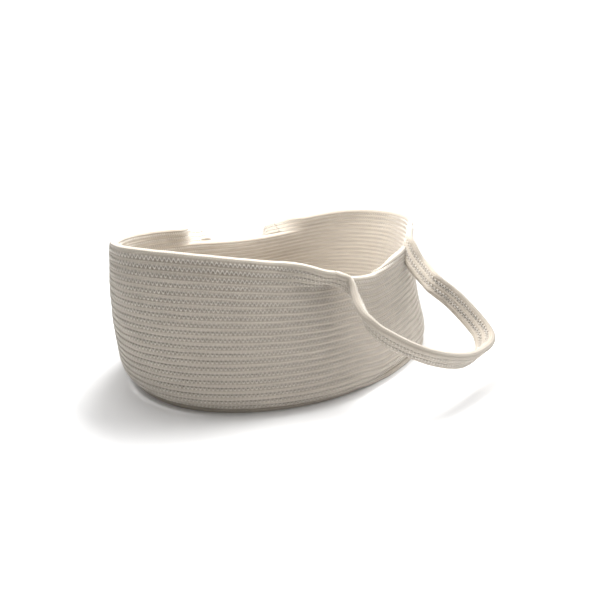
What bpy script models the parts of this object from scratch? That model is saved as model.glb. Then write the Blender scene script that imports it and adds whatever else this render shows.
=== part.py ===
"""Changing basket of coiled cotton rope with two soft carrying loops.

The rope lies as a flat spiral in the floor, winds up as the wall, and its top three rows
leave the wall on both long sides as the carrying loops. +X runs along the basket, -Y is the
side of the near loop, +Z is up, and the origin is on the floor below the basket's middle.
"""

import functools
import math

import bpy
import numpy as np
from mathutils import Matrix, Vector

MM = 0.001

# Rope
ROPE_DIAMETER = 8.5 * MM
ROW_GAP = 1.0 * MM
END_GAP = 0.4 * MM
ROPE_SIDES = 6
SMOOTH_ANGLE = math.radians(35.0)
ROPE_RADIUS = ROPE_DIAMETER / 2
ROPE_FLAT_RADIUS = ROPE_RADIUS * math.cos(math.pi / ROPE_SIDES)
ROW_PITCH = ROPE_DIAMETER + ROW_GAP

# Measuring a coil: samples a run, and how far along the next turn starts
GAP_SAMPLES = 4
GAP_START_DIAMETERS = 6

# Floor spiral, two half-round ends joined by straight runs
FLOOR_HALF_TURNS = 46
FLOOR_ARC_STEPS = 7
FLOOR_STRAIGHT_HALF = 83.0 * MM
FLOOR_FLAT_CUT = ROPE_DIAMETER / 10

# Wall rows, counted from the floor's own outer row as row 0
WALL_ROWS = 19
BAND_ROWS = 3
LOOP_POINTS = 22
CLIMB_START = 5
WALL_FOOT_OVERHANG = 10.0 * MM
RIM_END_FLARE = 25.0 * MM
RIM_SIDE_LEAN = 47.0 * MM
RIM_ROUNDNESS = 1.87
RIM_WAVE = 7.5 * MM
FOOT_TUCK_SHARES = (1.2, 0.5)
OUTLINE_STEPS = 1320

# Soft sway of the sewn basket: level, then cosines and sines of one, two, ... waves a turn,
# counted in this size
SWAY_SIZE = 1.0 * MM
FOOT_SWAY = (0.6, (0.1, 0.7, -0.8, 5.8), (-0.9, 0.0, -4.2, -0.6))
BELLY_SWAY = (-0.8, (-4.9, 5.3, 1.4), (-1.7, 0.0, -1.3))
RIM_SWAY = (-0.4, (-5.4, 1.0, 1.1, 1.0, 1.4), (4.1, 0.0, -2.7, 2.0, 0.3))
HEIGHT_SWAY = (0.8, (-1.8, 1.2, -2.8, 0.4), (0.3, 6.5, -2.6, -4.2))
FOOT_SHIFT = Vector((-10.4 * MM, 4.7 * MM))
CENTRE_SHIFT = Vector((4.57 * MM, 0.42 * MM))

# Carrying loops, whose ends leave the wall this far from the basket's middle
ROOT_HALF_SPAN = 120.0 * MM
ROOT_RUN = 8.0 * MM
ROOT_CLEARANCE = 1.4 * MM
ROOT_LEAN = math.radians(45.0)
ROOT_LEAN_STEPS = 3
ROOT_ARC_START = 3
LOOP_RUN = 3.0 * MM
LOOP_DROOP = math.radians(43.0)
LOOP_FLARE = math.radians(48.0)
LOOP_TWIST_LENGTH = 75.0 * MM
ROUTE_STEPS = 2

# Centreline of a loop from its left root to its right root: along the wall, outwards, upwards
LOOP_ROUTE = (
    (-112.0 * MM, 4.6 * MM, -3.4 * MM),
    (-110.0 * MM, 11.6 * MM, -10.4 * MM),
    (-114.0 * MM, 20.0 * MM, -20.0 * MM),
    (-124.0 * MM, 33.0 * MM, -30.0 * MM),
    (-138.0 * MM, 49.0 * MM, -46.0 * MM),
    (-143.0 * MM, 66.0 * MM, -62.0 * MM),
    (-130.0 * MM, 89.0 * MM, -83.0 * MM),
    (-100.0 * MM, 113.0 * MM, -106.0 * MM),
    (-60.0 * MM, 135.0 * MM, -125.0 * MM),
    (-5.0 * MM, 152.0 * MM, -142.0 * MM),
    (40.0 * MM, 157.0 * MM, -147.0 * MM),
    (66.0 * MM, 154.0 * MM, -144.0 * MM),
    (78.0 * MM, 144.0 * MM, -135.0 * MM),
    (78.0 * MM, 124.0 * MM, -116.0 * MM),
    (73.0 * MM, 96.0 * MM, -89.0 * MM),
    (71.0 * MM, 70.0 * MM, -65.0 * MM),
    (77.0 * MM, 50.0 * MM, -47.0 * MM),
    (91.0 * MM, 32.0 * MM, -30.0 * MM),
    (106.0 * MM, 20.0 * MM, -20.0 * MM),
    (110.0 * MM, 11.6 * MM, -10.4 * MM),
    (112.0 * MM, 4.6 * MM, -3.4 * MM),
)

COTTON_COLOUR = (0.74, 0.69, 0.61, 1.0)
COTTON_ROUGHNESS = 0.92


def clear_scene():
    """Remove every object of the open scene."""
    for item in list(bpy.data.objects):
        bpy.data.objects.remove(item, do_unlink=True)


def cotton(name):
    """Undyed cotton for the sub-part of this name."""
    material = bpy.data.materials.new(name)
    material.use_nodes = True
    shader = material.node_tree.nodes["Principled BSDF"]
    shader.inputs["Base Color"].default_value = COTTON_COLOUR
    shader.inputs["Roughness"].default_value = COTTON_ROUGHNESS
    shader.inputs["Metallic"].default_value = 0.0
    material.diffuse_color = COTTON_COLOUR
    return material


def rope_curve(name, points, flat_on_top):
    """A faceted rope along the points, with either a flat or an edge on top."""
    curve = bpy.data.curves.new(name, "CURVE")
    curve.dimensions = "3D"
    curve.twist_mode = "Z_UP"
    curve.bevel_depth = ROPE_RADIUS
    curve.bevel_resolution = 1
    curve.use_fill_caps = True
    curve.render_resolution_u = 0
    spline = curve.splines.new("POLY")
    spline.points.add(len(points) - 1)
    tilt = 0.0 if flat_on_top else math.pi / ROPE_SIDES
    for spline_point, place in zip(spline.points, points):
        spline_point.co = (*place, 1.0)
        spline_point.tilt = tilt
    curve.materials.append(cotton(name))
    rope = bpy.data.objects.new(name, curve)
    bpy.context.scene.collection.objects.link(rope)
    return rope


def least_gap(points):
    """Least clear distance of a wound rope to its own other turns, measured on its points."""
    places = np.array([tuple(place) for place in points])
    steps = np.linspace(0.0, 1.0, GAP_SAMPLES, endpoint=False)
    runs = [places[:-1] + share * np.diff(places, axis=0) for share in steps]
    dense = np.stack(runs, axis=1).reshape(-1, 3)
    along = np.concatenate([[0.0], np.cumsum(np.linalg.norm(np.diff(dense, axis=0), axis=1))])
    apart = GAP_START_DIAMETERS * ROPE_DIAMETER
    least = math.inf
    for index, place in enumerate(dense):
        others = dense[along > along[index] + apart]
        if len(others):
            least = min(least, float(np.linalg.norm(others - place, axis=1).min()))
    return least - ROPE_DIAMETER


def report_gap(name, points):
    """Print the least gap of one coil in millimetres."""
    print(f"{name}: least gap between its turns {least_gap(points) / MM:.2f} mm")


def floor_outer_radius():
    """Radius of the floor spiral's last half turn."""
    return FLOOR_HALF_TURNS * ROW_PITCH / 2


def floor_height():
    """Height of the floor rope's centreline above the ground."""
    return ROPE_FLAT_RADIUS - FLOOR_FLAT_CUT


def floor_route():
    """Centreline of the floor spiral, from the middle outwards and clockwise from above."""
    height = floor_height()
    shift = ROW_PITCH / 4
    moved = (FOOT_SHIFT + CENTRE_SHIFT).to_3d()
    points = [Vector((FLOOR_STRAIGHT_HALF, -shift, height))]
    for half_turn in range(1, FLOOR_HALF_TURNS + 1):
        end = -1 if half_turn % 2 else 1
        radius = half_turn * ROW_PITCH / 2
        for step in range(FLOOR_ARC_STEPS + 1):
            angle = math.pi * (step / FLOOR_ARC_STEPS - 1 / 2)
            along = end * (FLOOR_STRAIGHT_HALF + radius * math.cos(angle))
            across = -end * (shift + radius * math.sin(angle))
            points.append(Vector((along, across, height)))
    points.append(Vector((foot_outline()[CLIMB_START].x, points[-1].y, height)))
    return [place + moved for place in points]


def even_points(outline):
    """Points at even steps round a closed outline, clockwise from its +X end."""
    closed = np.vstack([outline, outline[:1]])
    along = np.concatenate([[0.0], np.cumsum(np.linalg.norm(np.diff(closed, axis=0), axis=1))])
    wanted = np.arange(LOOP_POINTS) * along[-1] / LOOP_POINTS
    xs = np.interp(wanted, along, closed[:, 0])
    ys = np.interp(wanted, along, closed[:, 1])
    return [Vector((x, y)) for x, y in zip(xs, ys)]


def clockwise_angles():
    """Fine steps of one turn, clockwise from +X."""
    return -2 * math.pi * np.arange(OUTLINE_STEPS) / OUTLINE_STEPS


@functools.cache
def foot_outline():
    """Centreline of the lowest upright wall row, a rectangle with half-round ends."""
    radius = floor_outer_radius() + WALL_FOOT_OVERHANG
    angles = clockwise_angles()
    ends = np.where(np.cos(angles) >= 0.0, FLOOR_STRAIGHT_HALF, -FLOOR_STRAIGHT_HALF)
    outline = np.stack([ends + radius * np.cos(angles), radius * np.sin(angles)], axis=1)
    return even_points(outline)


def rim_size():
    """Half length and half width of the rim's centreline."""
    radius = floor_outer_radius() + WALL_FOOT_OVERHANG
    return FLOOR_STRAIGHT_HALF + radius + RIM_END_FLARE, radius - RIM_SIDE_LEAN


@functools.cache
def rim_outline():
    """Centreline of the rim, an oval slightly more pointed at its ends than an ellipse."""
    half_length, half_width = rim_size()
    angles = clockwise_angles()
    cosines, sines = np.cos(angles), np.sin(angles)
    power = 2 / RIM_ROUNDNESS
    xs = half_length * np.sign(cosines) * np.abs(cosines) ** power
    ys = half_width * np.sign(sines) * np.abs(sines) ** power
    return even_points(np.stack([xs, ys], axis=1))


def sway(waves, round_share):
    """Sway where round_share of the clockwise turn is done, from its level and its waves."""
    level, cosines, sines = waves
    angle = 2 * math.pi * round_share
    total = level
    for count, (cosine, sine) in enumerate(zip(cosines, sines), start=1):
        total += cosine * math.cos(count * angle) + sine * math.sin(count * angle)
    return total * SWAY_SIZE


def row_height(row, round_share):
    """Height of a wall row's centreline where round_share of the clockwise turn is done."""
    first = floor_height() + ROPE_FLAT_RADIUS + ROW_GAP + ROPE_RADIUS
    wave = RIM_WAVE * math.cos(4 * math.pi * round_share) + sway(HEIGHT_SWAY, round_share)
    return first + (row - 1) * ROW_PITCH + wave * row / (WALL_ROWS + BAND_ROWS)


def leaning_place(lean, step):
    """Point of the outline that leans from the foot, 0, to the rim, 1, before its sway."""
    step %= LOOP_POINTS
    return foot_outline()[step].lerp(rim_outline()[step], lean)


def wall_point(row, index):
    """Point of a wall row at one of the steps round the basket."""
    step = index % LOOP_POINTS
    share = step / LOOP_POINTS
    lean = (row - 1) / (WALL_ROWS + BAND_ROWS - 1)
    place = leaning_place(lean, step)
    run = leaning_place(lean, step + 1) - leaning_place(lean, step - 1)
    outward = Vector((-run.y, run.x)).normalized()
    out = sway(FOOT_SWAY, share) * (1 - lean) + sway(RIM_SWAY, share) * lean
    out += sway(BELLY_SWAY, share) * 4 * lean * (1 - lean)
    if row <= len(FOOT_TUCK_SHARES):
        out -= WALL_FOOT_OVERHANG * FOOT_TUCK_SHARES[row - 1]
    place += outward * out + FOOT_SHIFT * (1 - lean) + CENTRE_SHIFT
    return Vector((place.x, place.y, row_height(row, share)))


def wall_route():
    """Centreline of the wound wall: level rows that climb one row in the near side's middle."""
    start = CLIMB_START + 1
    points = []
    for row in range(1, WALL_ROWS + 1):
        points += [wall_point(row, start + step) for step in range(LOOP_POINTS)]
    return points


def side_place(row, along, side):
    """Point of a wall row this far along the basket, on its near side, -1, or far side, 1."""
    half = LOOP_POINTS // 2
    indices = range(half, -1, -1) if side < 0 else range(half, LOOP_POINTS + 1)
    places = [wall_point(row, index) for index in indices]
    alongs = [place.x for place in places]
    across = np.interp(along, alongs, [place.y for place in places])
    height = np.interp(along, alongs, [place.z for place in places])
    return Vector((along, float(across), float(height)))


def root_width():
    """Unit vector from a loop's lower rope towards its upper rope at the roots."""
    return Vector((0.0, -math.sin(ROOT_LEAN), math.cos(ROOT_LEAN)))


@functools.cache
def hinge_frame(side):
    """Place of a loop's hinge line and half its length: X along it, -Y outwards, Z upwards."""
    alongs = (CENTRE_SHIFT.x - ROOT_HALF_SPAN, CENTRE_SHIFT.x + ROOT_HALF_SPAN)
    left, right = (side_place(WALL_ROWS, along, side) for along in alongs)
    along = (right - left).normalized() * -side
    across = Vector((0.0, 0.0, 1.0)).cross(along).normalized()
    frame = Matrix((along, across, along.cross(across))).transposed()
    lift = ROW_PITCH * (BAND_ROWS + 1) / 2 + ROOT_CLEARANCE
    middle = (left + right) / 2 + frame @ root_width() * lift
    return Matrix.Translation(middle) @ frame.to_4x4(), (right - left).length / 2


def root_place(row, end, side, run):
    """Point of a rim row by its root, at this run from it towards the basket's end."""
    frame, half = hinge_frame(side)
    offset = (row - WALL_ROWS - (BAND_ROWS + 1) / 2) * ROW_PITCH
    along = Vector((-side * end * (half + run), 0.0, 0.0))
    return frame @ (along + root_width() * offset)


def arc_index(end, step):
    """Step round the basket that lies this many steps from the middle of one end."""
    return step if end > 0 else LOOP_POINTS // 2 - step


def root_lean_points(row, end, side):
    """Points where a rim row turns from leaning out at its root to lying on the wall."""
    start = root_place(row, end, side, ROOT_RUN)
    below = side_place(WALL_ROWS, start.x, side)
    index = arc_index(end, -side * ROOT_ARC_START)
    stop, stop_below = wall_point(row, index), wall_point(WALL_ROWS, index)
    leaving, lying = start - below, stop - stop_below
    points = []
    for step in range(1, ROOT_LEAN_STEPS):
        share = step / ROOT_LEAN_STEPS
        along = start.x + (stop.x - start.x) * share
        length = leaving.length * (1 - share) + lying.length * share
        width = leaving.normalized().slerp(lying.normalized(), share) * length
        points.append(side_place(WALL_ROWS, along, side) + width)
    return points


def band_route(row, end):
    """Centreline of a rim row round one end, from the near root to the far root."""
    runs = (END_GAP / 2, ROOT_RUN)
    near = [root_place(row, end, -1, run) for run in runs] + root_lean_points(row, end, -1)
    far = [root_place(row, end, 1, run) for run in runs] + root_lean_points(row, end, 1)
    steps = range(ROOT_ARC_START, -ROOT_ARC_START - 1, -1)
    arc = [wall_point(row, arc_index(end, step)) for step in steps]
    return near + arc + far[::-1]


def smooth_route(route):
    """Points on a Catmull-Rom curve through the route's points."""
    padded = [route[0], *route, route[-1]]
    points = [route[0]]
    for before, start, stop, after in zip(padded, padded[1:], padded[2:], padded[3:]):
        for step in range(1, ROUTE_STEPS + 1):
            share = step / ROUTE_STEPS
            leave = (stop - before) / 2
            arrive = (after - start) / 2
            bend = (start * 2 - stop * 2 + leave + arrive) * share**3
            swing = (stop * 3 - start * 3 - leave * 2 - arrive) * share**2
            points.append(bend + swing + leave * share + start)
    return points


def loop_route(half):
    """Centreline of a carrying loop about the middle of its hinge line of this half length."""
    runs = (END_GAP / 2, LOOP_RUN / 2, LOOP_RUN)
    middle = smooth_route([Vector((x, -out, up)) for x, out, up in LOOP_ROUTE])
    left = [Vector((run - half, 0.0, 0.0)) for run in runs]
    right = [Vector((half - run, 0.0, 0.0)) for run in reversed(runs)]
    return left + middle + right


def loop_widths(points):
    """Unit vectors from the loop's lower rope towards its upper rope at each point."""
    normal = Vector((0.0, -math.sin(LOOP_DROOP), math.cos(LOOP_DROOP)))
    along = [0.0]
    for before, after in zip(points, points[1:]):
        along.append(along[-1] + (after - before).length)
    widths = []
    for index, distance in enumerate(along):
        before = points[max(index - 1, 0)]
        after = points[min(index + 1, len(points) - 1)]
        tangent = (after - before).normalized()
        reach = min(1.0, min(distance, along[-1] - distance) / LOOP_TWIST_LENGTH)
        turned = reach * reach * (3 - 2 * reach)
        outward = tangent.cross(normal)
        leaning = normal * math.cos(LOOP_FLARE) + outward * math.sin(LOOP_FLARE)
        width = root_width().lerp(leaning, turned)
        widths.append((width - tangent * width.dot(tangent)).normalized())
    return widths


def floor_coil():
    """The flat spiral of the floor, its underside pressed flat where it stands."""
    points = floor_route()
    report_gap("floor_coil", points)
    guide = rope_curve("floor_coil_guide", points, flat_on_top=True)
    mesh = bpy.data.meshes.new_from_object(guide)
    bpy.data.objects.remove(guide, do_unlink=True)
    for vertex in mesh.vertices:
        vertex.co.z = max(vertex.co.z, 0.0)
    mesh.shade_smooth()
    mesh.set_sharp_from_angle(angle=SMOOTH_ANGLE)
    floor = bpy.data.objects.new("floor_coil", mesh)
    bpy.context.scene.collection.objects.link(floor)


def wall_coil():
    """The wound wall up to the low rim between the roots of each loop."""
    points = wall_route()
    report_gap("wall_coil", points)
    rope_curve("wall_coil", points, flat_on_top=False)


def end_bands():
    """The three rim rows round each end of the basket."""
    for end_name, end in (("left", -1), ("right", 1)):
        for band in range(BAND_ROWS):
            row = WALL_ROWS + 1 + band
            rope_curve(f"{end_name}_rim_row_{band + 1}", band_route(row, end), flat_on_top=False)


def carrying_loops():
    """The near and far carrying loops, three ropes each, on empties at their hinge lines."""
    for side_name, side in (("near", -1), ("far", 1)):
        frame, half = hinge_frame(side)
        points = loop_route(half)
        widths = loop_widths(points)
        hinge = bpy.data.objects.new(f"{side_name}_loop_hinge", None)
        bpy.context.scene.collection.objects.link(hinge)
        hinge.matrix_world = frame
        for band in range(BAND_ROWS):
            offset = (band - (BAND_ROWS - 1) / 2) * ROW_PITCH
            strand = [place + width * offset for place, width in zip(points, widths)]
            rope = rope_curve(f"{side_name}_loop_rope_{band + 1}", strand, flat_on_top=False)
            rope.parent = hinge


def main():
    """Build the whole basket."""
    clear_scene()
    floor_coil()
    wall_coil()
    end_bands()
    carrying_loops()


main()
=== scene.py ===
import logging
import math
from dataclasses import dataclass
from enum import Enum
from functools import cached_property

import bpy
import numpy as np
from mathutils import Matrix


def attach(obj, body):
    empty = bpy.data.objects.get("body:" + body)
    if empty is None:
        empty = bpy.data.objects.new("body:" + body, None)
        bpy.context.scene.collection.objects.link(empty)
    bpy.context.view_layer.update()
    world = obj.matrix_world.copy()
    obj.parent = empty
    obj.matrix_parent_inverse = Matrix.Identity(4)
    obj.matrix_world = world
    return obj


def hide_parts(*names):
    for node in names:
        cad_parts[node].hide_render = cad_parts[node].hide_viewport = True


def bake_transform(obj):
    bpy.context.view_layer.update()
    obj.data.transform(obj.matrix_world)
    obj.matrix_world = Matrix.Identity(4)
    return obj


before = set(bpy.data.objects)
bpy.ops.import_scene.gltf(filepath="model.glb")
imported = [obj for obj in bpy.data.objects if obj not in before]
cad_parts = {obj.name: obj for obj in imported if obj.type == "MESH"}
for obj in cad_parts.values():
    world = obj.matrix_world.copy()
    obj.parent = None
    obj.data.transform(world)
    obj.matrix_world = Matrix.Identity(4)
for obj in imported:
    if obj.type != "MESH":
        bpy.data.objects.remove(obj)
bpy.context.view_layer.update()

LOG = logging.getLogger("changing_basket")
MM = 0.001
TURN = 2 * math.pi
UV_NAME = "rope_uv"

# Scale, detail and weight of the soft patches and of the flecks in the cotton's colour, the weight of
# the painted shade that darkens the braid's grooves by the strands' height, and the share of the
# light colour that all of it starts from.
TONE_PATCHES = (9.0, 3.0, 0.7)
TONE_FLECKS = (420.0, 2.0, 0.6)
TONE_GROOVE_SHADE = 0.8
TONE_OFFSET = 0.15


def node_material(name: str) -> tuple[bpy.types.Material, bpy.types.Node]:
    """A new material.

    Args:
        name: name of the material.

    Returns:
        The material and its surface shader.
    """
    material = bpy.data.materials.new(name)
    material.use_nodes = True
    return material, material.node_tree.nodes["Principled BSDF"]


def placed(name: str, data: bpy.types.ID) -> bpy.types.Object:
    """A new object in the scene.

    Args:
        name: name of the object.
        data: the mesh, lamp or camera that it shows.

    Returns:
        The object, at the origin.
    """
    thing = bpy.data.objects.new(name, data)
    bpy.context.scene.collection.objects.link(thing)
    return thing


class Side(Enum):
    """The face of a wall that a seam is sewn on, as a sign along its outward normal."""

    OUTSIDE = 1.0
    INSIDE = -1.0


@dataclass(frozen=True)
class Waves:
    """A length that changes smoothly round the basket, in millimetres."""

    level: float = 0.0
    cosines: tuple[float, ...] = ()
    sines: tuple[float, ...] = ()

    def at(self, share: np.ndarray) -> np.ndarray:
        """Value of the waves round the basket.

        Args:
            share: clockwise shares of a turn, counted from the +X end.

        Returns:
            The value in metres at each share.
        """
        total = np.full_like(share, self.level)
        for count, (cosine, sine) in enumerate(zip(self.cosines, self.sines), start=1):
            total += cosine * np.cos(TURN * count * share) + sine * np.sin(TURN * count * share)
        return total * MM


def unit(vectors: np.ndarray) -> np.ndarray:
    """The vectors at length one, row by row."""
    return vectors / np.maximum(np.linalg.norm(vectors, axis=-1, keepdims=True), 1e-12)


def soft_step(share: np.ndarray) -> np.ndarray:
    """Shares from nought to one, eased at both ends."""
    held = np.clip(share, 0.0, 1.0)
    return held * held * (3 - 2 * held)


def lengths(route: np.ndarray) -> np.ndarray:
    """Distance along a route at each of its points."""
    return np.concatenate([[0.0], np.cumsum(np.linalg.norm(np.diff(route, axis=0), axis=1))])


def columns_at(wanted: np.ndarray, known: np.ndarray, table: np.ndarray) -> np.ndarray:
    """The rows of a table read at wanted places between its known places."""
    return np.stack([np.interp(wanted, known, column) for column in table.T], axis=1)


def even_route(route: np.ndarray, spacing: float) -> np.ndarray:
    """A route laid out again with even steps.

    Args:
        route: points in order, one a row.
        spacing: wanted distance between points, in metres.

    Returns:
        Points on the same path at even steps close to the spacing.
    """
    along = lengths(route)
    wanted = np.linspace(0.0, along[-1], max(2, round(along[-1] / spacing)) + 1)
    return columns_at(wanted, along, route)


def smooth_route(route: np.ndarray, steps: int) -> np.ndarray:
    """A curve that runs softly through every point of a route.

    Args:
        route: points in order, one a row.
        steps: number of pieces that each span is cut into.

    Returns:
        Points on a Catmull-Rom curve through the route.
    """
    padded = np.vstack([2 * route[0] - route[1], route, 2 * route[-1] - route[-2]])
    shares = np.arange(steps)[:, None] / steps
    points = []
    for before, start, stop, after in zip(padded, padded[1:], padded[2:], padded[3:]):
        leave, arrive = (stop - before) / 2, (after - start) / 2
        bend = 2 * start - 2 * stop + leave + arrive
        swing = 3 * stop - 3 * start - 2 * leave - arrive
        points.append(bend * shares**3 + swing * shares**2 + leave * shares + start)
    return np.vstack([*points, route[-1:]])


@dataclass(frozen=True)
class RopeSize:
    """Thickness of the rope and how closely its rows are bedded, in metres."""

    radius: float = 5.2 * MM
    pitch: float = 9.5 * MM
    floor_height: float = 2.83 * MM
    first_row_height: float = 11.76 * MM
    step: float = 5.0 * MM
    bevel_resolution: int = 4
    swelling: float = 0.018
    swell_waves: tuple[float, float] = (0.031, 0.0137)
    swell_phase: float = 1.9
    tail_length: float = 60.0 * MM
    tail_thinning: float = 0.7
    fullness_length: float = 60.0 * MM


@dataclass(frozen=True)
class BasketShape:
    """Where every row of the floor and the wall lies, with the soft sway of a sewn basket."""

    rope: RopeSize = RopeSize()
    straight_half: float = 83.0 * MM
    half_turns: int = 46
    foot_radius: float = 228.5 * MM
    rim_half_length: float = 336.5 * MM
    rim_half_width: float = 181.5 * MM
    rim_roundness: float = 1.87
    rim_wave: float = 8.6 * MM
    tucks: tuple[float, ...] = (10.0 * MM, 11.4 * MM, 4.4 * MM, 0.8 * MM, 0.0)
    wall_rows: int = 19
    band_rows: int = 3
    climb_start: float = 6 / 22
    climb_share: float = 1 / 22
    foot_shift: tuple[float, float] = (-10.4 * MM, 4.7 * MM)
    middle: tuple[float, float] = (4.57 * MM, 0.42 * MM)
    foot_sway: Waves = Waves(0.6, (0.1, 0.7, -0.8, 5.8), (-0.9, 0.0, -4.2, -0.6))
    belly_sway: Waves = Waves(-0.8, (-4.9, 5.3, 1.4), (-1.7, 0.0, -1.3))
    rim_sway: Waves = Waves(-0.4, (-5.4, 1.0, 1.1, 1.0, 1.4), (4.1, 0.0, -2.7, 2.0, 0.3))
    height_sway: Waves = Waves(0.5, (-1.8, 1.5, -2.8, 0.1), (0.3, 6.5, -3.0, -4.2))
    root_half_span: float = 120.0 * MM
    near_shifts: tuple[float, float] = (-30.0 * MM, -15.0 * MM)
    far_shifts: tuple[float, float] = (35.0 * MM, 15.0 * MM)
    root_lean: float = math.radians(45.0)
    near_falls: tuple[float, float] = (math.radians(50.0), math.radians(12.0))
    far_falls: tuple[float, float] = (math.radians(45.0), math.radians(45.0))
    root_lean_length: float = 64.0 * MM
    root_lift: float = 0.5 * MM
    wobble: float = 0.18 * MM
    wobble_out: float = 0.8
    wobble_up: float = 0.35
    ripples: tuple[tuple[int, float, float], ...] = (
        *((7, 0.31, 0.4), (13, 0.47, 2.1)),
        *((23, 0.83, 4.4), (37, 0.21, 1.3)),
    )
    table_size: int = 2400
    search_size: int = 4001
    rim_points: int = 260
    turn_points: int = 330
    normal_reach: float = 0.006

    @property
    def top_row(self) -> int:
        """Number of the highest rim row."""
        return self.wall_rows + self.band_rows

    @property
    def band_middle(self) -> float:
        """Number of the middle rim row."""
        return self.wall_rows + (self.band_rows + 1) / 2

    @cached_property
    def angles(self) -> np.ndarray:
        """Fine steps of one turn, clockwise from +X."""
        return -TURN * np.arange(4 * self.table_size) / (4 * self.table_size)

    def table(self, outline: np.ndarray) -> np.ndarray:
        """An outline laid out evenly.

        Args:
            outline: places round the outline, one a row.

        Returns:
            Places at even shares of its own length, closed at the end.
        """
        closed = np.vstack([outline, outline[:1]])
        along = lengths(closed)
        return columns_at(np.linspace(0.0, along[-1], self.table_size + 1), along, closed)

    @cached_property
    def foot(self) -> np.ndarray:
        """Outline of the foot, a rectangle with half-round ends."""
        ends = np.where(np.cos(self.angles) >= 0.0, self.straight_half, -self.straight_half)
        xs = ends + self.foot_radius * np.cos(self.angles)
        return self.table(np.stack([xs, self.foot_radius * np.sin(self.angles)], axis=1))

    @cached_property
    def rim(self) -> np.ndarray:
        """Outline of the rim, an oval slightly more pointed than an ellipse."""
        cosines, sines = np.cos(self.angles), np.sin(self.angles)
        power = 2 / self.rim_roundness
        xs = self.rim_half_length * np.sign(cosines) * np.abs(cosines) ** power
        ys = self.rim_half_width * np.sign(sines) * np.abs(sines) ** power
        return self.table(np.stack([xs, ys], axis=1))

    def lean(self, level: np.ndarray) -> np.ndarray:
        """How far up the wall a row lies, from the foot, 0, to the rim, 1."""
        return np.clip((level - 1) / (self.top_row - 1), 0.0, None)

    def outline(self, level: np.ndarray, share: np.ndarray) -> np.ndarray:
        """Plan of a row before any sway.

        Args:
            level: row numbers, which may lie between two rows.
            share: clockwise shares of a turn from +X.

        Returns:
            Places in plan, one a row.
        """
        lean = self.lean(level)[:, None]
        steps = np.linspace(0.0, 1.0, self.table_size + 1)
        feet = columns_at(share % 1.0, steps, self.foot)
        rims = columns_at(share % 1.0, steps, self.rim)
        return feet * (1 - lean) + rims * lean

    def outward(self, level: np.ndarray, share: np.ndarray) -> np.ndarray:
        """Directions out of the basket.

        Args:
            level: row numbers, which may lie between two rows.
            share: clockwise shares of a turn from +X.

        Returns:
            Level unit vectors, one a row.
        """
        reach = self.normal_reach
        run = self.outline(level, share + reach) - self.outline(level, share - reach)
        return unit(np.stack([-run[:, 1], run[:, 0]], axis=1))

    def facing(self, level: np.ndarray, share: np.ndarray, side: Side) -> np.ndarray:
        """Level unit vectors that point away from one face of the wall."""
        return np.column_stack([self.outward(level, share), np.zeros(len(share))]) * side.value

    def heights(self, level: np.ndarray, share: np.ndarray) -> np.ndarray:
        """Heights of the rope's centre.

        Args:
            level: row numbers, 0 for the floor's outer row.
            share: clockwise shares of a turn from +X.

        Returns:
            A height in metres for each place.
        """
        rope = self.rope
        above = rope.first_row_height + (level - 1) * rope.pitch
        below = rope.floor_height + level * (rope.first_row_height - rope.floor_height)
        wave = self.rim_wave * np.cos(2 * TURN * share) + self.height_sway.at(share)
        return np.where(level >= 1, above, below) + wave * level / self.top_row

    def centres(self, level: np.ndarray | float, share: np.ndarray) -> np.ndarray:
        """Centres of the rope on the wall's rows.

        Args:
            level: row numbers, 0 for the floor's outer row; they may lie between two rows.
            share: clockwise shares of a turn from +X.

        Returns:
            Places in metres, one a row.
        """
        share = np.asarray(share, float)
        level = np.broadcast_to(np.asarray(level, float), share.shape).copy()
        lean = self.lean(level)
        out = self.foot_sway.at(share) * (1 - lean) + self.rim_sway.at(share) * lean
        out += self.belly_sway.at(share) * 4 * lean * (1 - lean)
        out -= np.interp(level, np.arange(len(self.tucks)), self.tucks)
        out_more, up_more = self.unevenness(level, share)
        plan = self.outline(level, share)
        plan += self.outward(level, share) * (out + out_more)[:, None]
        plan += np.array(self.foot_shift) * (1 - lean)[:, None] + np.array(self.middle)
        return np.column_stack([plan, self.heights(level, share) + up_more])

    def unevenness(self, level: np.ndarray, share: np.ndarray) -> tuple[np.ndarray, np.ndarray]:
        """Small wander of the rope, as left by sewing.

        Args:
            level: row numbers, 0 for the floor's outer row.
            share: clockwise shares of a turn from +X.

        Returns:
            How far the rope lies outwards and upwards of its even row, in metres.
        """
        out = np.zeros_like(share)
        up = np.zeros_like(share)
        for count, drift, phase in self.ripples:
            out += np.sin(TURN * (count * share + drift * level) + phase)
            up += np.sin(TURN * (count * share + 0.6 * drift * level) + 2.7 * phase)
        fade = np.clip(level, 0.0, 1.0)
        return out * self.wobble * self.wobble_out * fade, up * self.wobble * self.wobble_up * fade

    def share_where(self, level: float, along: float, sign: float) -> float:
        """Share of a turn at which a row passes a place along the basket.

        Args:
            level: row number.
            along: the place, in metres along X.
            sign: the long side, -1 for the near one and 1 for the far one.

        Returns:
            The clockwise share of a turn from +X.
        """
        shares = np.linspace(0.0, 1.0, self.search_size)
        places = self.centres(level, shares)
        off = np.abs(places[:, 0] - along) + np.where(places[:, 1] * sign > 0, 0.0, 1.0)
        return float(shares[np.argmin(off)])

    @cached_property
    def hinges(self) -> dict[float, "HingeFrame"]:
        """The lines between the loops' roots, on the near side, -1, and the far side, 1."""
        return {sign: self.hinge(sign) for sign in (-1.0, 1.0)}

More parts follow.
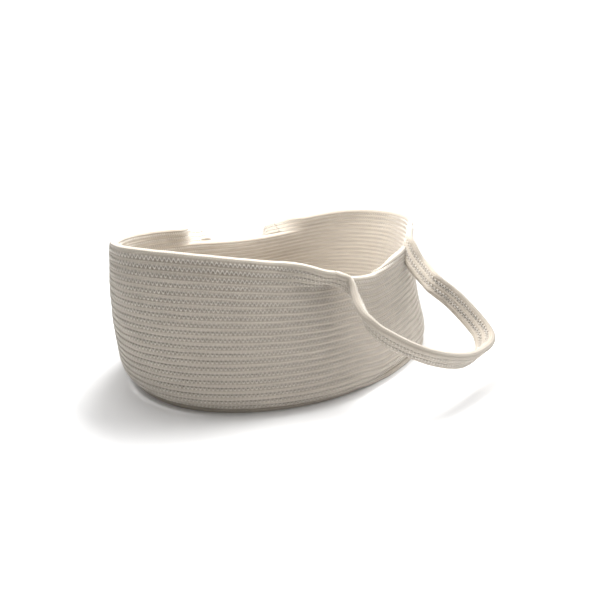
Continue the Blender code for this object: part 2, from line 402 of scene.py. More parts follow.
    def hinge(self, sign: float) -> "HingeFrame":
        """The line that a loop swings about.

        Args:
            sign: the long side, -1 for the near one and 1 for the far one.

        Returns:
            The line through the loop's two roots.
        """
        places = []
        for end in (-1, 1):
            along = self.middle[0] + end * self.root_half_span
            share = self.share_where(self.wall_rows, along, sign)
            places.append(self.centres(self.wall_rows, np.array([share]))[0])
        left, right = places
        x_axis = unit((right - left) * -sign)
        y_axis = unit(np.cross([0.0, 0.0, 1.0], x_axis))
        axes = np.array([x_axis, y_axis, np.cross(x_axis, y_axis)])
        low = HingeFrame((left + right) / 2, axes)
        lift = 2 * self.rope.pitch + self.root_lift
        return HingeFrame(low.middle + low.width(self.root_lean) * lift, axes)

    def rim_centres(self, level: float, share: np.ndarray) -> np.ndarray:
        """Centres of the rope on a rim row, which turns outwards on its way to the roots.

        Args:
            level: number of the rim row.
            share: clockwise shares of a turn from +X.

        Returns:
            Places in metres, one a row.
        """
        flat = self.centres(level, share)
        below = self.centres(self.wall_rows, share)
        past = np.zeros(len(flat))
        leaning = np.zeros_like(flat)
        for sign, end in ((-1.0, -1.0), (-1.0, 1.0), (1.0, -1.0), (1.0, 1.0)):
            here = (flat[:, 1] * sign > 0) & ((flat[:, 0] - self.middle[0]) * end > 0)
            leaning[here] = self.root_width(sign, end)
            past[here] = (flat[here, 0] - self.root_along(sign, end)) * end
        turn = soft_step(1 - past / self.root_lean_length)[:, None]
        upright = flat - below
        reach = np.linalg.norm(upright, axis=1, keepdims=True)
        leaned = (level - self.wall_rows) * self.rope.pitch + self.root_lift
        width = unit(unit(upright) * (1 - turn) + leaning * turn)
        return below + width * (reach * (1 - turn) + leaned * turn)

    def root_width(self, sign: float, end: float) -> np.ndarray:
        """Unit vector up the rim rows at one root, which fall outwards there."""
        fall = (self.near_falls if sign < 0 else self.far_falls)[0 if end < 0 else 1]
        return self.hinges[sign].direction((0.0, math.sin(fall), math.cos(fall)))

    def end_shares(self, level: float, end: int, extra: float = 0.0) -> np.ndarray:
        """Shares of a turn of a rim row round one end, from its near root to its far root.

        Args:
            level: number of the rim row.
            end: -1 for the left end and 1 for the right one.
            extra: how far beyond the roots the row is left off, in metres.

        Returns:
            Clockwise shares of a turn from +X.
        """
        near, far = (
            self.share_where(level, self.root_along(sign, end, extra), sign) for sign in (-1.0, 1.0)
        )
        return np.linspace(near, far - 1.0 if end > 0 else far, self.rim_points)

    def root_along(self, sign: float, end: float, extra: float = 0.0) -> float:
        """Place along the basket of a loop's root, or of a point a little past it."""
        shift = (self.near_shifts if sign < 0 else self.far_shifts)[0 if end < 0 else 1]
        return self.middle[0] + shift + end * (self.root_half_span + extra)

    def floor_route(self) -> np.ndarray:
        """Centreline of the floor spiral, from the middle outwards and clockwise from above."""
        rope = self.rope
        shift = rope.pitch / 4
        points = [(self.straight_half, -shift)]
        for half_turn in range(1, self.half_turns + 1):
            end = -1 if half_turn % 2 else 1
            radius = half_turn * rope.pitch / 2
            steps = max(8, round(math.pi * radius / rope.step))
            for step in range(steps + 1):
                angle = math.pi * (step / steps - 1 / 2)
                along = end * (self.straight_half + radius * math.cos(angle))
                points.append((along, -end * (shift + radius * math.sin(angle))))
        stop = self.outline(np.ones(1), np.array([self.climb_start]))[0, 0]
        points.append((stop, points[-1][1]))
        flat = even_route(np.array(points), rope.step)
        laid = np.column_stack([self.floor_sway(flat), np.full(len(flat), rope.floor_height)])
        return even_route(np.vstack([laid[:-2], self.wall_route()[1:2]]), rope.step)

    def floor_sway(self, flat: np.ndarray) -> np.ndarray:
        """Places on the floor moved along with the sway of the foot.

        Args:
            flat: places in plan, one a row.

        Returns:
            The moved places in plan.
        """
        shares = np.arange(self.table_size) / self.table_size
        turned = np.unwrap(np.arctan2(self.foot[:-1, 1], self.foot[:-1, 0]))
        angle = np.arctan2(flat[:, 1], flat[:, 0])
        angle = np.where(angle > turned[0], angle - TURN, angle)
        share = np.interp(-angle, -turned, shares)
        level = np.ones_like(share)
        full = np.linalg.norm(self.outline(level, share), axis=1)
        reach = np.clip(np.linalg.norm(flat, axis=1) / full, 0.0, 1.0) ** 2
        push = self.outward(level, share) * (self.foot_sway.at(share) * reach)[:, None]
        return flat + push + np.array(self.foot_shift) + np.array(self.middle)

    def wall_levels(self) -> tuple[np.ndarray, np.ndarray]:
        """Row numbers and shares of a turn along the whole wound wall rope."""
        turns = np.arange(-self.climb_share, self.wall_rows - self.climb_share, 1 / self.turn_points)
        whole = np.floor(turns)
        climb = soft_step((turns - whole - (1 - self.climb_share)) / self.climb_share)
        share = (self.climb_start + self.climb_share + turns) % 1.0
        return whole + 1 + climb, share

    def wall_route(self) -> np.ndarray:
        """Centreline of the wound wall rope, from the end of the floor to the low rim."""
        return even_route(self.centres(*self.wall_levels()), self.rope.step)


@dataclass(frozen=True)
class HingeFrame:
    """The line through a loop's two roots, with its own axes: along, inwards and upwards."""

    middle: np.ndarray
    axes: np.ndarray

    def width(self, lean: float) -> np.ndarray:
        """Unit vector up a strap that leans outwards from upright by this much."""
        return -self.axes[1] * math.sin(lean) + self.axes[2] * math.cos(lean)

    def place(self, own: np.ndarray) -> np.ndarray:
        """World places of points given along, outwards and upwards from the line's middle."""
        return self.middle + (own * np.array([1.0, -1.0, 1.0])) @ self.axes

    def direction(self, own: tuple[float, float, float]) -> np.ndarray:
        """World direction of a direction given along, outwards and upwards."""
        return (np.array(own) * np.array([1.0, -1.0, 1.0])) @ self.axes


@dataclass(frozen=True)
class Cotton:
    """Undyed cotton rope: its colour, how it varies, the painted shade in its braid's grooves, and
    how its braid shows.
    """

    name: str
    colour: tuple[float, float, float]
    # The dark colour: painted shade in the braid's grooves, and the dark end of the random tone.
    shade: tuple[float, float, float]
    braid_columns: float = 10.0
    braid_length: float = 3.4 * MM
    braid_depth: float = 0.4 * MM
    roughness: float = 0.92
    gloss: float = 0.2
    sheen: float = 0.3
    sheen_roughness: float = 0.5

    def material(self) -> bpy.types.Material:
        """The cotton as a material.

        Returns:
            A material whose colour is darker in the braid's grooves, as painted shade, and wanders
            softly over the piece.
        """
        material, shader = node_material(self.name)
        tree = material.node_tree
        shader.inputs["Sheen Weight"].default_value = self.sheen
        shader.inputs["Sheen Roughness"].default_value = self.sheen_roughness
        shader.inputs["Specular IOR Level"].default_value = self.gloss
        shader.inputs["Roughness"].default_value = self.roughness
        braid = tree.nodes.new("ShaderNodeGroup")
        braid.node_tree = braid_group()
        braid.inputs["Columns"].default_value = self.braid_columns
        braid.inputs["Length"].default_value = self.braid_length
        uv = tree.nodes.new("ShaderNodeUVMap")
        uv.uv_map = UV_NAME
        tree.links.new(uv.outputs["UV"], braid.inputs["Rope UV"])
        tone = tree.nodes.new("ShaderNodeGroup")
        tone.node_tree = tone_group()
        tone.inputs["Light"].default_value = (*self.colour, 1.0)
        tone.inputs["Dark"].default_value = (*self.shade, 1.0)
        # Painted shade: the braid's height darkens the colour in the grooves between the strands.
        tree.links.new(braid.outputs["Height"], tone.inputs["Height"])
        tree.links.new(tone.outputs["Colour"], shader.inputs["Base Color"])
        bump = tree.nodes.new("ShaderNodeBump")
        bump.inputs["Strength"].default_value = 1.0
        bump.inputs["Distance"].default_value = self.braid_depth
        tree.links.new(braid.outputs["Height"], bump.inputs["Height"])
        tree.links.new(bump.outputs["Normal"], shader.inputs["Normal"])
        return material


@dataclass(frozen=True)
class Thread:
    """Plain twisted sewing thread."""

    name: str
    colour: tuple[float, float, float]
    roughness: float = 0.75
    sheen: float = 0.3
    dark_share: float = 0.86
    patch_scale: float = 60.0
    patch_limits: tuple[float, float] = (0.3, 0.7)

    def material(self) -> bpy.types.Material:
        """The thread as a matt material with a faint change of tone along the seam."""
        material, shader = node_material(self.name)
        tree = material.node_tree
        shader.inputs["Roughness"].default_value = self.roughness
        shader.inputs["Sheen Weight"].default_value = self.sheen
        place = tree.nodes.new("ShaderNodeTexCoord")
        patches = tree.nodes.new("ShaderNodeTexNoise")
        patches.inputs["Scale"].default_value = self.patch_scale
        tree.links.new(place.outputs["Object"], patches.inputs["Vector"])
        ramp = tree.nodes.new("ShaderNodeValToRGB")
        shares = (self.dark_share, 1.0)
        for stop, place_on_ramp, share in zip(ramp.color_ramp.elements, self.patch_limits, shares):
            stop.position = place_on_ramp
            stop.color = (*(share * part for part in self.colour), 1.0)
        tree.links.new(patches.outputs["Fac"], ramp.inputs["Fac"])
        tree.links.new(ramp.outputs["Color"], shader.inputs["Base Color"])
        return material


class NodeBench:
    """Adds small arithmetic to a node group."""

    def __init__(self, tree: bpy.types.NodeTree) -> None:
        """Work on this node tree."""
        self.tree = tree

    def maths(self, operation: str, *values: object) -> bpy.types.NodeSocket:
        """A Math node fed with sockets or numbers.

        Args:
            operation: the Math node's operation.
            values: a socket or a number for each input, in order.

        Returns:
            The node's value output.
        """
        node = self.tree.nodes.new("ShaderNodeMath")
        node.operation = operation
        for socket, value in zip(node.inputs, values):
            if isinstance(value, bpy.types.NodeSocket):
                self.tree.links.new(value, socket)
            else:
                socket.default_value = value
        return node.outputs["Value"]

    def noise(self, place: bpy.types.NodeSocket, scale: float, detail: float) -> bpy.types.NodeSocket:
        """Soft noise about nought over a place.

        Args:
            place: socket with the place.
            scale: fineness of the noise.
            detail: number of finer layers in it.

        Returns:
            A socket with values from -0.5 to 0.5.
        """
        node = self.tree.nodes.new("ShaderNodeTexNoise")
        node.inputs["Scale"].default_value = scale
        node.inputs["Detail"].default_value = detail
        self.tree.links.new(place, node.inputs["Vector"])
        return self.maths("SUBTRACT", node.outputs["Fac"], 0.5)


def new_group(name: str, inputs: dict[str, str], output: tuple[str, str]) -> bpy.types.NodeTree:
    """An empty node group.

    Args:
        name: name of the group.
        inputs: the kind of each named input, Float, Vector or Color.
        output: name and kind of the output.

    Returns:
        The group with its sockets.
    """
    group = bpy.data.node_groups.new(name, "ShaderNodeTree")
    for label, kind in inputs.items():
        group.interface.new_socket(label, in_out="INPUT", socket_type=f"NodeSocket{kind}")
    label, kind = output
    group.interface.new_socket(label, in_out="OUTPUT", socket_type=f"NodeSocket{kind}")
    return group


def braid_group(slant_share: float = 0.9, softness: float = 0.6) -> bpy.types.NodeTree:
    """The braid of a round cotton rope, made once and shared.

    Args:
        slant_share: how far a strand runs along the rope while it crosses its column.
        softness: power that rounds the strands off.

    Returns:
        A node group that turns the rope's own UV into the height of its strands.
    """
    if "rope braid" in bpy.data.node_groups:
        return bpy.data.node_groups["rope braid"]
    sockets = {"Rope UV": "Vector", "Columns": "Float", "Length": "Float"}
    group = new_group("rope braid", sockets, ("Height", "Float"))
    source = group.nodes.new("NodeGroupInput")
    target = group.nodes.new("NodeGroupOutput")
    split = group.nodes.new("ShaderNodeSeparateXYZ")
    group.links.new(source.outputs["Rope UV"], split.inputs["Vector"])
    bench = NodeBench(group)
    column = bench.maths("MULTIPLY", split.outputs["Y"], source.outputs["Columns"])
    across = bench.maths("FRACT", column)
    odd = bench.maths("PINGPONG", bench.maths("FLOOR", column), 1.0)
    slant = bench.maths("MULTIPLY", bench.maths("SUBTRACT", odd, 0.5), 2.0)
    centred = bench.maths("MULTIPLY", bench.maths("SUBTRACT", across, 0.5), slant)
    run = bench.maths("DIVIDE", split.outputs["X"], source.outputs["Length"])
    phase = bench.maths("ADD", run, bench.maths("MULTIPLY", centred, slant_share))
    strand = bench.maths("ABSOLUTE", bench.maths("SINE", bench.maths("MULTIPLY", phase, math.pi)))
    ridge = bench.maths("SINE", bench.maths("MULTIPLY", across, math.pi))
    soft = bench.maths("POWER", bench.maths("MULTIPLY", strand, ridge), softness)
    group.links.new(soft, target.inputs["Height"])
    return group


def tone_group() -> bpy.types.NodeTree:
    """Soft change of the cotton's colour, with painted shade in the braid's grooves, made once and
    shared.

    Returns:
        A node group that mixes the light and dark cotton by strand height, as painted shade in the
        grooves, and by soft patches.
    """
    if "cotton tone" in bpy.data.node_groups:
        return bpy.data.node_groups["cotton tone"]
    sockets = {"Height": "Float", "Light": "Color", "Dark": "Color"}
    group = new_group("cotton tone", sockets, ("Colour", "Color"))
    source = group.nodes.new("NodeGroupInput")
    target = group.nodes.new("NodeGroupOutput")
    place = group.nodes.new("ShaderNodeTexCoord")
    bench = NodeBench(group)
    patches, flecks = (
        bench.maths("MULTIPLY", bench.noise(place.outputs["Object"], scale, detail), weight)
        for scale, detail, weight in (TONE_PATCHES, TONE_FLECKS)
    )
    # Painted shade: the low places of the braid turn towards the dark cotton.
    groove_shade = bench.maths("MULTIPLY", source.outputs["Height"], TONE_GROOVE_SHADE)
    offset = bench.maths("ADD", flecks, TONE_OFFSET)
    share = bench.maths("ADD", bench.maths("ADD", groove_shade, patches), offset)
    limited = group.nodes.new("ShaderNodeClamp")
    group.links.new(share, limited.inputs["Value"])
    mix = group.nodes.new("ShaderNodeMix")
    mix.data_type = "RGBA"
    group.links.new(limited.outputs["Result"], mix.inputs["Factor"])
    group.links.new(source.outputs["Dark"], mix.inputs["A"])
    group.links.new(source.outputs["Light"], mix.inputs["B"])
    group.links.new(mix.outputs["Result"], target.inputs["Colour"])
    return group


@dataclass(frozen=True)
class Finishes:
    """Every finish of the basket."""

    floor: Cotton = Cotton("cotton_floor", (0.54, 0.485, 0.415), (0.385, 0.335, 0.28))
    wall: Cotton = Cotton("cotton_wall", (0.54, 0.485, 0.415), (0.385, 0.335, 0.28))
    # Painted shade: the rim rows and the loops are the same cotton as the wall, given a darker colour
    # to stand in for the shade on the hanging strap.
    rim: Cotton = Cotton("cotton_rim", (0.49, 0.44, 0.375), (0.355, 0.31, 0.255))
    loops: Cotton = Cotton("cotton_loops", (0.49, 0.44, 0.375), (0.355, 0.31, 0.255))
    thread: Thread = Thread("cotton_thread", (0.72, 0.67, 0.60))


@dataclass(frozen=True)
class ZigzagSeam:
    """A zigzag seam that joins two rope rows lying side by side."""

    advance: float = 2.8 * MM
    bite: float = 2.3 * MM
    sunk: float = 0.7 * MM
    proud: float = 0.35 * MM
    leg: float = 0.5 * MM
    thread_radius: float = 0.62 * MM
    thread_resolution: int = 0

    def run(
        self, first: np.ndarray, second: np.ndarray, radius: float, facing: np.ndarray
    ) -> np.ndarray:
        """The thread's path over two rows.

        Args:
            first: centres of one row, point by point beside those of the other.
            second: centres of the other row.
            radius: radius of the rope.
            facing: rough direction that the sewn face looks in, at each point.

        Returns:
            Points of the thread, three for each needle hole.
        """
        along = lengths((first + second) / 2)
        count = max(4, round(along[-1] / self.advance))
        wanted = np.linspace(0.0, along[-1], count + 1)
        low = columns_at(wanted, along, first)
        high = columns_at(wanted, along, second)
        outwards = columns_at(wanted, along, facing)
        across = unit(high - low)
        face = unit(np.cross(unit(np.gradient((low + high) / 2, axis=0)), across))
        face *= np.where((face * outwards).sum(axis=1, keepdims=True) < 0, -1.0, 1.0)
        even = (np.arange(count + 1) % 2 == 0)[:, None]
        base = np.where(even, low + across * self.bite, high - across * self.bite)
        height = math.sqrt(radius**2 - self.bite**2)
        holes = base + face * (height - self.sunk)
        lifted = base + face * (height + self.proud)
        before, after = lifted.copy(), lifted.copy()
        leg = unit(np.diff(lifted, axis=0)) * self.leg
        before[1:] -= leg
        after[:-1] += leg
        return np.stack([before, holes, after], axis=1).reshape(-1, 3)


class Workshop:
    """Turns routes into rope and thread meshes."""

    def __init__(self, size: RopeSize, seam: ZigzagSeam, finishes: Finishes) -> None:
        """Work with one rope size, one seam and one set of finishes."""
        self.size = size
        self.seam = seam
        self.finishes = finishes
        self.materials: dict[str, bpy.types.Material] = {}

    def finish(self, finish: Cotton | Thread) -> bpy.types.Material:
        """The material of a finish, made once."""
        if finish.name not in self.materials:
            self.materials[finish.name] = finish.material()
        return self.materials[finish.name]

    def tube(
        self, name: str, routes: list[np.ndarray], radius: float, resolution: int, twist: str
    ) -> bpy.types.Object:
        """A round section drawn along routes.

        Args:
            name: name of the piece.
            routes: one array of points for each run; a fourth column is its share of the radius.
            radius: radius of the section in metres.
            resolution: roundness of the section.
            twist: how the section turns along the run.

        Returns:
            The mesh object, at the origin.
        """
        curve = bpy.data.curves.new(name, "CURVE")
        curve.dimensions = "3D"
        curve.twist_mode = twist
        curve.bevel_depth = radius
        curve.bevel_resolution = resolution
        curve.use_fill_caps = True
        curve.render_resolution_u = 0
        for route in routes:
            spline = curve.splines.new("POLY")
            spline.points.add(len(route) - 1)
            places = np.column_stack([route[:, :3], np.ones(len(route))])
            spline.points.foreach_set("co", places.ravel())
            if route.shape[1] > 3:
                spline.points.foreach_set("radius", route[:, 3])
        guide = bpy.data.objects.new(f"{name}_guide", curve)
        mesh = bpy.data.meshes.new_from_object(guide)
        bpy.data.objects.remove(guide)
        bpy.data.curves.remove(curve)
        mesh.name = name
        return placed(name, mesh)

    def rope(
        self,
        name: str,
        route: np.ndarray,
        cotton: Cotton,
        tail: float = 0.0,
        fullness: float = 1.0,
    ) -> bpy.types.Object:
        """A length of braided rope that never reaches below the ground.

        Args:
            name: name of the piece.
            route: centreline at even steps.
            cotton: its finish.
            tail: length over which the rope's end is pressed thin and sewn down.
            fullness: share of its radius that the rope grows to away from its two ends.

        Returns:
            The rope with its UV in metres along it and shares of a turn round it.
        """
        size = self.size
        along = lengths(route)
        slow, quick = size.swell_waves
        swell = np.sin(along / slow) + np.sin(along / quick + size.swell_phase)
        swell = 1 + size.swelling * swell / 2
        reach = np.minimum(along, along[-1] - along) / size.fullness_length
        places = np.column_stack([route, swell * (1 + (fullness - 1) * soft_step(reach))])
        if tail:
            thin = size.tail_thinning * soft_step(1 - (along[-1] - along) / tail)
            places[:, 2] -= thin * size.radius
            places[:, 3] *= 1 - thin
        piece = self.tube(name, [places], size.radius, size.bevel_resolution, "Z_UP")
        mesh = piece.data
        layer = mesh.uv_layers[0]
        layer.name = UV_NAME
        shares = np.empty(2 * len(layer.uv), np.float32)
        layer.uv.foreach_get("vector", shares)
        shares[::2] *= along[-1]
        layer.uv.foreach_set("vector", shares)
        corners = np.empty(3 * len(mesh.vertices), np.float32)
        mesh.vertices.foreach_get("co", corners)
        corners[2::3] = np.maximum(corners[2::3], 0.0)
        mesh.vertices.foreach_set("co", corners)
        mesh.materials.clear()
        mesh.materials.append(self.finish(cotton))
        mesh.shade_smooth()
        LOG.info("%s: %.2f m of rope, %d faces", name, along[-1], len(mesh.polygons))
        return piece

    def stitching(self, name: str, runs: list[np.ndarray]) -> bpy.types.Object:
        """Sewing thread, as one piece.

        Args:
            name: name of the piece.
            runs: the thread's points, run by run.

        Returns:
            The thread's mesh object.
        """
        seam = self.seam
        piece = self.tube(name, runs, seam.thread_radius, seam.thread_resolution, "MINIMUM")
        piece.data.materials.clear()
        piece.data.materials.append(self.finish(self.finishes.thread))
        piece.data.shade_smooth()
        LOG.info("%s: %d runs, %d faces", name, len(runs), len(piece.data.polygons))
        return piece


@dataclass(frozen=True)
class SeamSearch:
    """How the floor's neighbouring runs are found, most of it as a count of row pitches."""

    block: int = 60
    own_run: float = 3.0
    neighbour: float = 1.35
    jump: float = 6.0
    least_points: int = 20
    past_root: float = 3.0 * MM


class Basket:
    """The floor, the wall and the rim rows with their seams."""

    search: SeamSearch = SeamSearch()

    def __init__(self, shape: BasketShape, workshop: Workshop) -> None:
        """Plan the basket in this shape."""
        self.shape = shape
        self.workshop = workshop

    def build(self) -> None:
        """Make every piece that stays put."""
        self.floor()
        self.wall()
        self.rim_rows()
        for side in Side:
            self.wall_seams(side)
            self.rim_seams(side)
        self.floor_seams()

    def place(self, piece: bpy.types.Object, slot: str, *nodes: str) -> None:
        """Fix a piece to the basket's body and hide the solids that it stands for.

        Args:
            piece: the finished piece.
            slot: the record's material slot; not used.
            nodes: the solids that it stands for.
        """
        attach(piece, "basket")
        if nodes:
            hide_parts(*nodes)

    def floor(self) -> None:
        """The flat spiral of the floor."""
        route = self.shape.floor_route()
        rope = self.workshop.rope("floor_rope", route, self.workshop.finishes.floor)
        self.place(rope, "cotton_floor", "floor_coil")

    def wall(self) -> None:
        """The wound wall."""
        shop, shape = self.workshop, self.shape
        rope = shop.rope("wall_rope", shape.wall_route(), shop.finishes.wall, shape.rope.tail_length)
        self.place(rope, "cotton_wall", "wall_coil")

    def rim_rows(self) -> None:
        """The three rim rows round each end."""
        shape = self.shape
        for end_name, end in (("left", -1), ("right", 1)):
            for band in range(shape.band_rows):
                level = shape.wall_rows + 1 + band
                route = shape.rim_centres(level, shape.end_shares(level, end))
                route = even_route(route, shape.rope.step)
                name = f"{end_name}_rim_rope_{band + 1}"
                rope = self.workshop.rope(name, route, self.workshop.finishes.rim)
                self.place(rope, "cotton_rim", f"{end_name}_rim_row_{band + 1}")

    def seam(self, low: np.ndarray, high: np.ndarray, facing: np.ndarray) -> np.ndarray:
        """The thread's path over two rows of this basket."""
        return self.workshop.seam.run(low, high, self.shape.rope.radius, facing)

    def wall_seams(self, side: Side) -> None:
        """The seams between the wall's rows, in a low and a high piece.

        Args:
            side: the face that they are sewn on.
        """
        shape = self.shape
        level, share = shape.wall_levels()
        joined = level + 1 <= shape.wall_rows
        lower_half = level < shape.wall_rows / 2
        for part, chosen in (("low", joined & lower_half), ("high", joined & ~lower_half)):
            levels, shares = level[chosen], share[chosen]
            low, high = shape.centres(levels, shares), shape.centres(levels + 1, shares)
            run = self.seam(low, high, shape.facing(levels, shares, side))
            name = f"{side.name.lower()}_wall_stitching_{part}"
            self.place(self.workshop.stitching(name, [run]), "cotton_wall")

    def rim_seams(self, side: Side) -> None:
        """The seams between the rim rows, and to the wall below.

        Args:
            side: the face that they are sewn on.
        """
        shape = self.shape
        runs = []
        for end in (-1, 1):
            shares = shape.end_shares(shape.wall_rows, end, self.search.past_root)
            for row in range(shape.wall_rows, shape.top_row):
                facing = shape.facing(np.full(len(shares), float(row)), shares, side)
                below, above = shape.rim_centres(row, shares), shape.rim_centres(row + 1, shares)
                runs.append(self.seam(below, above, facing))
        piece = self.workshop.stitching(f"{side.name.lower()}_rim_stitching", runs)
        self.place(piece, "cotton_rim")

    def floor_seams(self) -> None:
        """The seams between the floor's runs, on its upper face."""
        search, pitch = self.search, self.shape.rope.pitch
        route = self.shape.floor_route()
        along = lengths(route)
        inner, outer = [], []
        for start in range(0, len(route), search.block):
            some = route[start : start + search.block]
            later = route[along > along[start] + search.own_run * pitch]
            if len(later) < 2:
                break
            away = np.linalg.norm(later[None, :, :] - some[:, None, :], axis=2)
            close = away.min(axis=1) < search.neighbour * pitch
            inner.append(some[close])
            outer.append(later[away.argmin(axis=1)[close]])
        low, high = np.vstack(inner), np.vstack(outer)
        leaps = np.linalg.norm(np.diff(low + high, axis=0), axis=1)
        jumps = np.nonzero(leaps > search.jump * pitch)[0] + 1
        upwards = np.array([0.0, 0.0, 1.0])
        runs = [
            self.seam(some_low, some_high, np.tile(upwards, (len(some_low), 1)))
            for some_low, some_high in zip(np.split(low, jumps), np.split(high, jumps))
            if len(some_low) > search.least_points
        ]
        self.place(self.workshop.stitching("floor_stitching", runs), "cotton_floor")


@dataclass(frozen=True)
class LoopShape:
    """Path of a carrying loop from its left root to its right root.

    Each point of the path, in millimetres, is along the line through the two roots, outwards
    and upwards from that line's middle. The strap's outward lean from upright at each point is
    in degrees. Away from the roots its ropes lie a little wider apart. The leads are places on
    the rim row before the roots that the loop carries on from. The bend gives a point outwards
    and downwards of the roots' middle; the loop is not bent by it.
    """

    path: tuple[tuple[float, float, float], ...] = (
        (-142.0, 2.5, -2.0),
        (-136.5, 9.0, -7.5),
        (-136.0, 18.0, -16.5),
        (-140.5, 27.5, -27.0),
        (-146.5, 37.0, -37.0),
        (-150.5, 48.0, -47.0),
        (-149.0, 60.0, -59.0),
        (-143.0, 72.0, -70.0),
        (-130.0, 87.0, -84.0),
        (-104.0, 112.0, -104.0),
        (-67.0, 132.0, -124.0),
        (-26.0, 147.0, -139.0),
        (10.0, 155.0, -143.0),
        (40.0, 157.0, -142.0),
        (60.0, 150.0, -134.0),
        (71.0, 135.0, -123.0),
        (75.0, 112.0, -104.0),
        (71.0, 88.0, -82.0),
        (64.0, 73.0, -69.0),
        (61.0, 60.0, -59.0),
        (67.0, 45.0, -49.0),
        (72.0, 31.0, -39.5),
        (75.0, 18.5, -28.0),
        (80.0, 9.0, -15.0),
        (88.0, 0.5, -2.0),
    )
    leans: tuple[float, ...] = (
        *(48.0, 44.0, 40.0, 38.0, 42.0, 50.0, 52.0, 49.0, 47.0, 47.0, 38.0, 31.0, 36.0),
        *(44.0, 56.0, 36.0, 20.0, 10.0, 9.0, 17.0, 28.0, 36.0, 36.0, 28.0, 18.0),
    )
    spread: float = 1.2
    fullness: float = 1.1
    spread_length: float = 80.0 * MM
    squaring_length: float = 18.0 * MM
    leads: tuple[float, ...] = (24 * MM, 12 * MM, 0.0)
    smoothing: int = 12
    bend: tuple[float, float, float] = (0.0, 60.0, -50.0)


SHARED_POINTS = slice(7, 17)
FAR_LOOP = LoopShape(
    path=(
        (-126.0, 5.0, -1.0),
        (-119.0, 13.0, -6.0),
        (-119.0, 23.0, -17.0),
        (-127.0, 34.0, -30.0),
        (-137.0, 47.0, -44.0),
        *LoopShape.path[SHARED_POINTS],
        (72.0, 92.0, -82.0),
        (66.0, 72.0, -61.0),
        (58.0, 52.0, -40.0),
        (54.0, 35.0, -22.0),
        (56.0, 21.0, -9.0),
        (64.0, 10.0, -2.5),
        (74.0, 3.5, 0.0),
    ),
    leans=(
        *(44.0, 42.0, 40.0, 40.0, 44.0),
        *LoopShape.leans[SHARED_POINTS],
        *(20.0, 22.0, 28.0, 34.0, 38.0, 42.0, 44.0),
    ),
)


class CarryingLoop:
    """One carrying loop of three ropes sewn side by side."""

    def __init__(self, side_name: str, shape: LoopShape, basket: Basket) -> None:
        """Plan the loop on this side of the basket."""
        self.side_name = side_name
        self.sign = -1.0 if side_name == "near" else 1.0
        self.shape = shape
        self.basket = basket
        self.hinge = basket.shape.hinges[self.sign]

    def rim_lead(self, end: float, extra: float) -> np.ndarray:
        """Place on the middle rim row near one of the loop's own roots.

        Args:
            end: -1 for the loop's own left root and 1 for its right one.
            extra: how far past the root the place lies, in metres.

        Returns:
            The place in metres.
        """
        body = self.basket.shape
        along = body.root_along(self.sign, -self.sign * end, extra)
        share = body.share_where(body.wall_rows, along, self.sign)
        return body.rim_centres(body.band_middle, np.array([share]))[0]

    def centreline(self) -> np.ndarray:
        """Middle rope's path at fine even steps, from root to root."""
        leads, steps = self.shape.leads, self.shape.smoothing
        before = [self.rim_lead(-1.0, extra) for extra in leads]
        after = [self.rim_lead(1.0, extra) for extra in reversed(leads)]
        own = np.array(self.shape.path) * MM
        smooth = smooth_route(np.vstack([*before, self.hinge.place(own), *after]), steps)
        cut = (len(leads) - 1) * steps
        return even_route(smooth[cut : len(smooth) - cut], self.basket.shape.rope.step / 2)

    def widths(self, points: np.ndarray) -> np.ndarray:
        """Vectors from the loop's lower rope towards its upper rope.

        Args:
            points: places on the middle rope, from root to root.

        Returns:
            One vector a place, of length one where the ropes just bed on each other.
        """
        shape = self.shape
        along = lengths(points)
        marks = self.hinge.place(np.array(shape.path) * MM)
        places = [along[np.linalg.norm(points - mark, axis=1).argmin()] for mark in marks]
        lean = np.radians(np.interp(along, places, shape.leans))[:, None]
        tangent = unit(np.gradient(points, axis=0))
        upright = unit(np.array([0.0, 0.0, 1.0]) - tangent * tangent[:, 2:])
        leaning = upright * np.cos(lean) + np.cross(tangent, upright) * np.sin(lean)
        reach = np.minimum(along, along[-1] - along)[:, None]
        square = soft_step(reach / shape.squaring_length)
        body = self.basket.shape
        first, last = (body.root_width(self.sign, end) for end in (self.sign, -self.sign))
        root = np.where((along < along[-1] / 2)[:, None], first, last)
        width = unit(root * (1 - square) + leaning * square)
        return width * (1 + (shape.spread - 1) * soft_step(reach / shape.spread_length))

    def strands(self) -> tuple[list[np.ndarray], np.ndarray]:
        """Paths of the three ropes from root to root, and the strap's own face direction."""
        body = self.basket.shape
        points = self.centreline()
        widths = self.widths(points)
        faces = unit(np.cross(unit(np.gradient(points, axis=0)), widths))
        offsets = (np.arange(body.band_rows) - (body.band_rows - 1) / 2) * body.rope.pitch
        return [points + widths * offset for offset in offsets], faces

    def place(self, piece: bpy.types.Object, *nodes: str) -> None:
        """Bake a piece's place into its mesh and hide the solids that it stands for.

        Args:
            piece: the finished piece.
            nodes: the solids that it stands for.
        """
        start = self.hinge.middle
        end = start + self.hinge.direction(self.shape.bend) * MM
        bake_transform(piece)
        if nodes:
            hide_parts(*nodes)

    def build(self) -> None:
        """Make the three ropes and the seams between them."""
        workshop = self.basket.workshop
        paths, faces = self.strands()
        for band, path in enumerate(paths):
            name = f"{self.side_name}_loop_rope_{band + 1}"
            route = even_route(path, workshop.size.step)
            cotton, fullness = workshop.finishes.loops, self.shape.fullness
            rope = workshop.rope(f"{name}_braided", route, cotton, fullness=fullness)
            self.place(rope, name)
        runs = [
            self.basket.seam(first, second, faces * side.value)
            for first, second in zip(paths, paths[1:])
            for side in Side
        ]
        self.place(workshop.stitching(f"{self.side_name}_loop_stitching", runs))


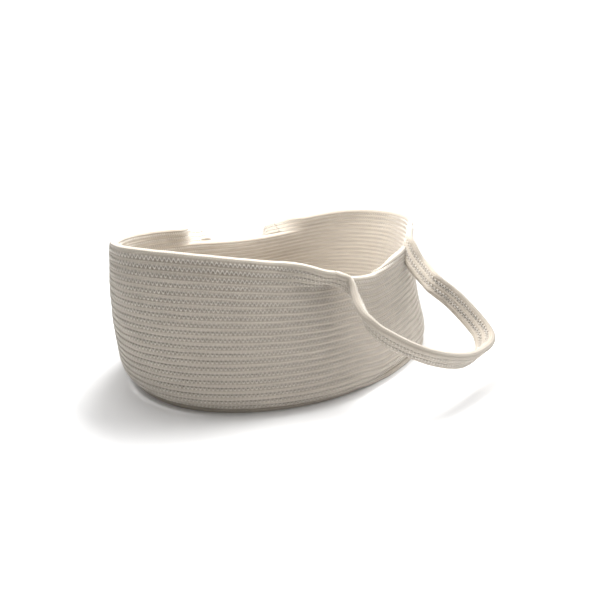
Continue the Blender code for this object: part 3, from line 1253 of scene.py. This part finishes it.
@dataclass(frozen=True)
class Studio:
    """A pale floor, soft light and the camera."""

    position: tuple[float, float, float] = (-0.59841, -0.50680, 0.32677)
    heading: float = 0.6911
    dip: float = 0.3088
    focal_share: float = 4.1898 / 6.0
    sensor: float = 36.0
    floor_size: float = 24.0
    floor_colour: tuple[float, float, float] = (0.92, 0.92, 0.92)
    sky_towards: tuple[float, float, float] = (0.78, 0.30, 0.55)
    sky_dim: float = 0.05
    sky_bright: float = 1.7
    sky_edges: tuple[float, float] = (-0.35, 0.85)
    sun_azimuth: float = math.radians(-6.0)
    sun_height: float = math.radians(42.0)
    sun_strength: float = 1.2
    sun_spread: float = math.radians(70.0)
    overhead_place: tuple[float, float, float] = (-0.08, 0.0, 0.66)
    overhead_size: float = 0.3
    overhead_power: float = 9.5

    def build(self) -> None:
        """Set up floor, lights and camera."""
        self.floor()
        self.sky()
        self.lamps()
        self.camera()

    def floor(self) -> None:
        """A wide matt pale floor."""
        bpy.ops.mesh.primitive_plane_add(size=self.floor_size, location=(0.0, 0.0, 0.0))
        ground = bpy.context.active_object
        ground.name = "studio_floor"
        material, shader = node_material("studio_floor")
        shader.inputs["Base Color"].default_value = (*self.floor_colour, 1.0)
        shader.inputs["Roughness"].default_value = 1.0
        ground.data.materials.append(material)

    def sky(self) -> None:
        """White surroundings that grow dim behind the camera."""
        world = bpy.data.worlds.new("studio_world")
        world.use_nodes = True
        bpy.context.scene.world = world
        bpy.context.scene.view_settings.view_transform = "Standard"
        tree = world.node_tree
        background = tree.nodes["Background"]
        background.inputs["Color"].default_value = (1.0, 1.0, 1.0, 1.0)
        place = tree.nodes.new("ShaderNodeTexCoord")
        facing = tree.nodes.new("ShaderNodeVectorMath")
        facing.operation = "DOT_PRODUCT"
        facing.inputs[1].default_value = self.sky_towards
        tree.links.new(place.outputs["Generated"], facing.inputs[0])
        strength = tree.nodes.new("ShaderNodeMapRange")
        edges = ("From Min", "From Max", "To Min", "To Max")
        for label, value in zip(edges, (*self.sky_edges, self.sky_dim, self.sky_bright)):
            strength.inputs[label].default_value = value
        tree.links.new(facing.outputs["Value"], strength.inputs["Value"])
        tree.links.new(strength.outputs["Result"], background.inputs["Strength"])

    def lamps(self) -> None:
        """A wide soft light from the right and a panel over the basket."""
        light = bpy.data.lights.new("key_light", "SUN")
        light.energy = self.sun_strength
        light.angle = self.sun_spread
        lamp = placed("key_light", light)
        lamp.rotation_euler = (0.0, math.pi / 2 - self.sun_height, self.sun_azimuth)
        panel = bpy.data.lights.new("overhead_light", "AREA")
        panel.size = self.overhead_size
        panel.energy = self.overhead_power
        overhead = placed("overhead_light", panel)
        overhead.location = self.overhead_place
        overhead.visible_camera = False

    def camera(self) -> None:
        """The camera at the photographer's place."""
        data = bpy.data.cameras.new("camera")
        data.sensor_width = self.sensor
        data.lens = self.focal_share * self.sensor
        camera = placed("camera", data)
        camera.location = self.position
        camera.rotation_euler = (math.pi / 2 - self.dip, 0.0, self.heading - math.pi / 2)
        bpy.context.scene.camera = camera


def main() -> None:
    """Build the basket, its loops and the studio."""
    logging.basicConfig(level=logging.INFO, format="%(message)s")
    shape = BasketShape()
    basket = Basket(shape, Workshop(shape.rope, ZigzagSeam(), Finishes()))
    basket.build()
    for side_name, loop_shape in (("near", LoopShape()), ("far", FAR_LOOP)):
        CarryingLoop(side_name, loop_shape, basket).build()
    Studio().build()


if __name__ == "__main__":
    main()
